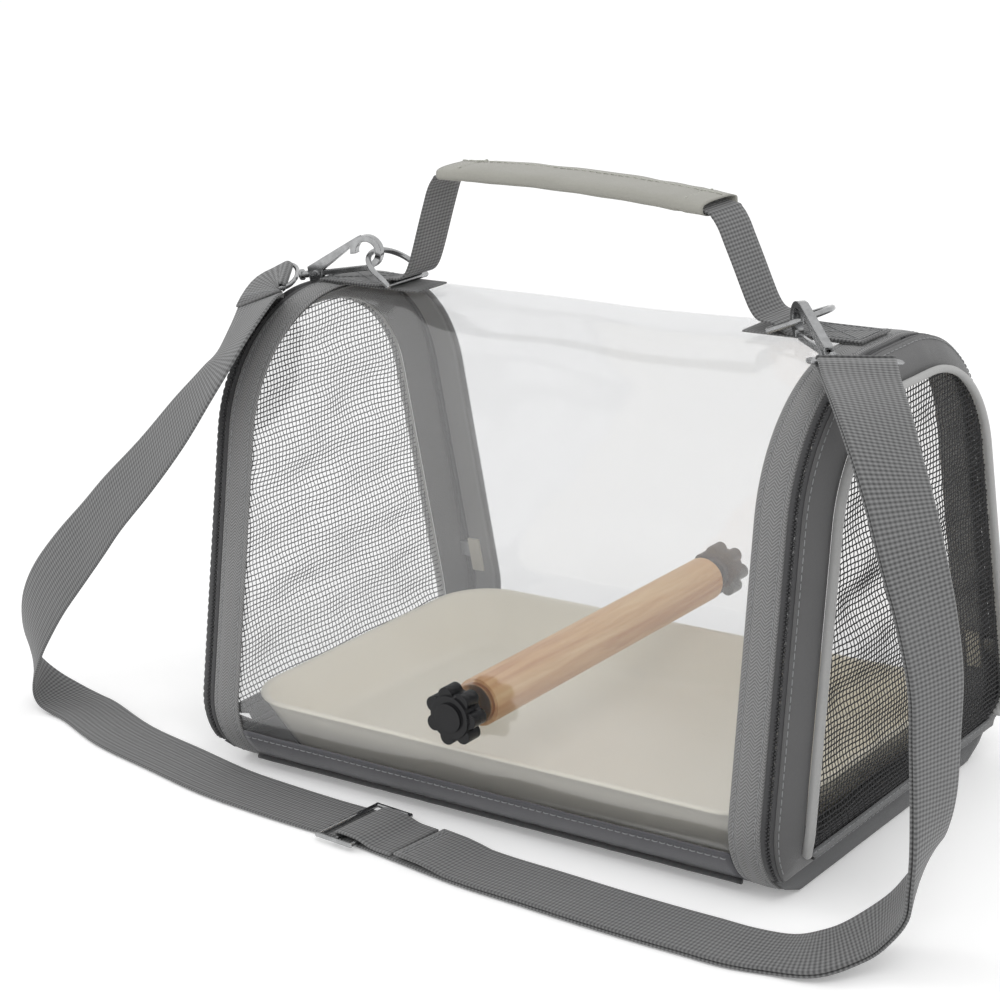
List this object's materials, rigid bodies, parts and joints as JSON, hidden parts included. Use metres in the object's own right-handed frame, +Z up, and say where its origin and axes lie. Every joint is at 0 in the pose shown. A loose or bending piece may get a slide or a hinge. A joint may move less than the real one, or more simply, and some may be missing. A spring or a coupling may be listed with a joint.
{
  "type": "bird travel carrier",
  "caption": "Clear arch-topped travel carrier for a small bird, with zipped mesh end doors, a wooden perch, a lift-out tray, a carry handle and a clip-on shoulder strap.",
  "frame": {"origin": "middle of the base face on the floor, halfway between the two end doors and between the front and back", "axes": "+Z up, +X towards the right-hand end door, +Y towards the back; the front knob and the shoulder strap on the floor are on the -Y side"},
  "size_m": [0.629, 0.3207, 0.33],
  "materials": {
    "cloth": "plain woven, matt",
    "piping_cloth": "light grey piping",
    "webbing": "ribbed webbing",
    "grip_cloth": "soft padded sleeve",
    "mesh": "open woven screen",
    "window": "clear, flexible",
    "board": "smooth",
    "zip": "woven tape and coil",
    "steel": "bright plated",
    "zip_metal": "satin",
    "end_tab": "folded tab",
    "wood": "sanded, unvarnished",
    "ferrule_metal": "satin",
    "rubber": "soft washer",
    "knob_plastic": "moulded",
    "tray_plastic": "fine satin"
  },
  "bodies": {
    "cabin": {"base_board": "board", "base_cover": "cloth", "sill_left": "cloth", "sill_right": "cloth", "base_piping_front": "piping_cloth", "base_piping_back": "piping_cloth", "clear_window": "window", "rim_left": "cloth", "rim_right": "cloth", "zip_tape_left": "zip", "zip_tape_right": "zip", "zip_end_left": "end_tab", "zip_end_right": "end_tab", "perch": "wood", "ferrule_front": "ferrule_metal", "ferrule_back": "ferrule_metal", "handle_tail_left": "webbing", "handle_tail_right": "webbing", "eye_left": "steel", "eye_right": "steel", "strap_left": "webbing", "strap_floor": "webbing", "strap_right": "webbing"},
    "door_left": {"door_tape_left": "zip", "gusset_left": "cloth", "door_piping_left": "piping_cloth", "mesh_left": "mesh", "door_hem_left": "cloth"},
    "zip_slider_left": {"zip_slider_left": "zip_metal"},
    "zip_pull_left": {"zip_pull_left": "zip_metal"},
    "d_ring_left": {"d_ring_left": "steel"},
    "hook_left": {"hook_left": "steel", "rivet_left": "steel"},
    "gate_left": {"gate_left": "steel"},
    "door_right": {"door_tape_right": "zip", "gusset_right": "cloth", "door_piping_right": "piping_cloth", "mesh_right": "mesh", "door_hem_right": "cloth"},
    "zip_slider_right": {"zip_slider_right": "zip_metal"},
    "zip_pull_right": {"zip_pull_right": "zip_metal"},
    "d_ring_right": {"d_ring_right": "steel"},
    "hook_right": {"hook_right": "steel", "rivet_right": "steel"},
    "gate_right": {"gate_right": "steel"},
    "washer_front": {"washer_front": "rubber"},
    "knob_front": {"knob_front": "knob_plastic", "perch_screw_front": "steel"},
    "washer_back": {"washer_back": "rubber"},
    "knob_back": {"knob_back": "knob_plastic", "perch_screw_back": "steel"},
    "tray": {"tray": "tray_plastic"},
    "handle": {"handle_webbing": "webbing", "grip_sleeve": "grip_cloth"},
    "strap_buckle": {"strap_buckle": "steel", "strap_fold": "webbing"}
  },
  "joints": [
    {"name": "door_left_hinge", "type": "hinge", "parent": "cabin", "child": "door_left", "pos_m": [-0.18, 0, 0.014], "axis": [0, -1, 0], "range_deg": [0, 75]},
    {"name": "zip_left_slide", "type": "slide", "parent": "cabin", "child": "zip_slider_left", "axis": [0, -0.1903, 0.9817], "range_m": [0, 0.11]},
    {"name": "zip_left_pull_hinge", "type": "hinge", "parent": "zip_slider_left", "child": "zip_pull_left", "pos_m": [-0.18, 0.12393, 0.06061], "axis": [1, 0, 0], "range_deg": [0, 150]},
    {"name": "d_ring_left_rock", "type": "hinge", "parent": "cabin", "child": "d_ring_left", "pos_m": [-0.1212, 0, 0.2616], "axis": [0, 1, 0], "range_deg": [0, 1.5]},
    {"name": "hook_left_swivel", "type": "hinge", "parent": "d_ring_left", "child": "hook_left", "pos_m": [-0.17578, -0.01266, 0.26307], "axis": [0.9609, 0.2396, 0.1392], "range_deg": [-2.5, 2.5]},
    {"name": "gate_left_hinge", "type": "hinge", "parent": "hook_left", "child": "gate_left", "pos_m": [-0.17578, -0.01266, 0.26307], "axis": [0.2419, -0.9703, 0], "range_deg": [0, 10], "stiffness_Nm_per_rad": 0.02, "springref_deg": -11.46},
    {"name": "door_right_hinge", "type": "hinge", "parent": "cabin", "child": "door_right", "pos_m": [0.18, 0, 0.014], "axis": [0, 1, 0], "range_deg": [0, 75]},
    {"name": "zip_right_slide", "type": "slide", "parent": "cabin", "child": "zip_slider_right", "axis": [0, -0.1903, 0.9817], "range_m": [0, 0.11]},
    {"name": "zip_right_pull_hinge", "type": "hinge", "parent": "zip_slider_right", "child": "zip_pull_right", "pos_m": [0.18, 0.12393, 0.06061], "axis": [1, 0, 0], "range_deg": [0, 150]},
    {"name": "d_ring_right_rock", "type": "hinge", "parent": "cabin", "child": "d_ring_right", "pos_m": [0.1212, 0, 0.2616], "axis": [0, -1, 0], "range_deg": [0, 1.5]},
    {"name": "hook_right_swivel", "type": "hinge", "parent": "d_ring_right", "child": "hook_right", "pos_m": [0.16508, -0.03783, 0.25924], "axis": [-0.7659, 0.6427, 0.0175], "range_deg": [-2.5, 2.5]},
    {"name": "gate_right_hinge", "type": "hinge", "parent": "hook_right", "child": "gate_right", "pos_m": [0.16508, -0.03783, 0.25924], "axis": [0.6428, 0.766, 0], "range_deg": [0, 10], "stiffness_Nm_per_rad": 0.02, "springref_deg": -11.46},
    {"name": "washer_front_slide", "type": "slide", "parent": "cabin", "child": "washer_front", "axis": [0, -1, 0], "range_m": [0, 0.00375]},
    {"name": "knob_front_spin", "type": "hinge", "parent": "washer_front", "child": "knob_front", "pos_m": [0, -0.137, 0.071], "axis": [0, -1, 0], "range_deg": [0, 1080]},
    {"name": "washer_back_slide", "type": "slide", "parent": "cabin", "child": "washer_back", "axis": [0, 1, 0], "range_m": [0, 0.00375]},
    {"name": "knob_back_spin", "type": "hinge", "parent": "washer_back", "child": "knob_back", "pos_m": [0, 0.137, 0.071], "axis": [0, 1, 0], "range_deg": [0, 1080]},
    {"name": "tray_lift", "type": "slide", "parent": "cabin", "child": "tray", "axis": [0, 0, 1], "range_m": [0, 0.016]},
    {"name": "handle_fold", "type": "hinge", "parent": "cabin", "child": "handle", "pos_m": [0, 0, 0.2628], "axis": [1, 0, 0], "range_deg": [-35, 35]},
    {"name": "buckle_slide", "type": "slide", "parent": "cabin", "child": "strap_buckle", "axis": [0.9962, -0.0872, 0], "range_m": [-0.012, 0.012]}
  ],
  "couplings": [
    {"joint": "knob_front_spin", "follows": "washer_front_slide", "rad_per_m": 5026.5},
    {"joint": "knob_back_spin", "follows": "washer_back_slide", "rad_per_m": 5026.5}
  ]
}
